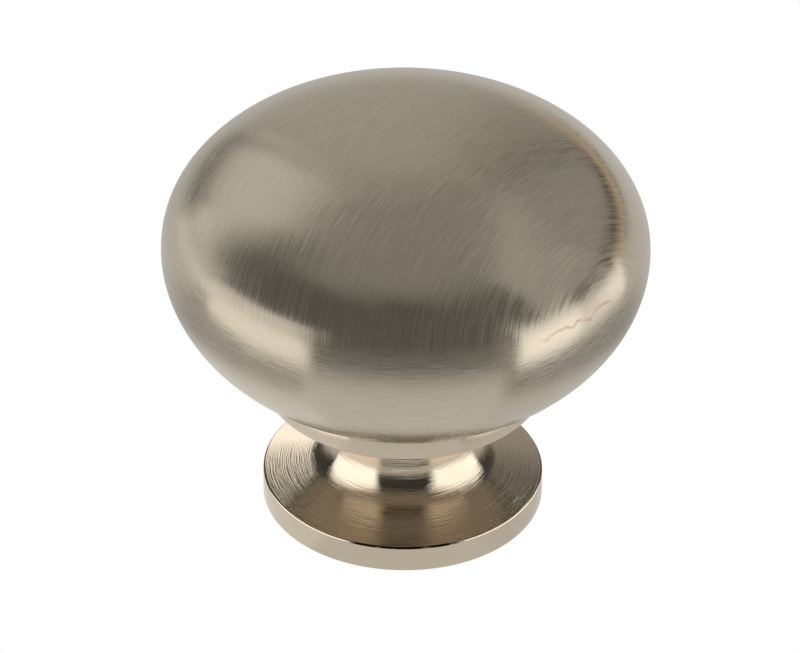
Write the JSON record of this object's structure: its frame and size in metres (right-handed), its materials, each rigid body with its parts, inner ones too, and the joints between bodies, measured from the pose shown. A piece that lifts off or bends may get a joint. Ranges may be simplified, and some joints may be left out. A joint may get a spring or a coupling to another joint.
{
  "type": "cabinet knob",
  "caption": "Round mushroom cabinet knob: a hollow flattened-ball head on a waisted turned base, with a thin collar, a disc foot and a blind threaded screw hole.",
  "frame": {"origin": "centre of the foot's flat underside, where the knob bears on the door", "axes": "+Z along the turning axis, from the foot to the crown; the knob is round, so X and Y are any pair across it"},
  "size_m": [0.0318, 0.0318, 0.0286],
  "materials": {
    "satin_nickel": "satin",
    "bright_nickel": "gloss"
  },
  "bodies": {
    "root": {"head_shell": "satin_nickel", "base_post": "bright_nickel"}
  },
  "joints": []
}
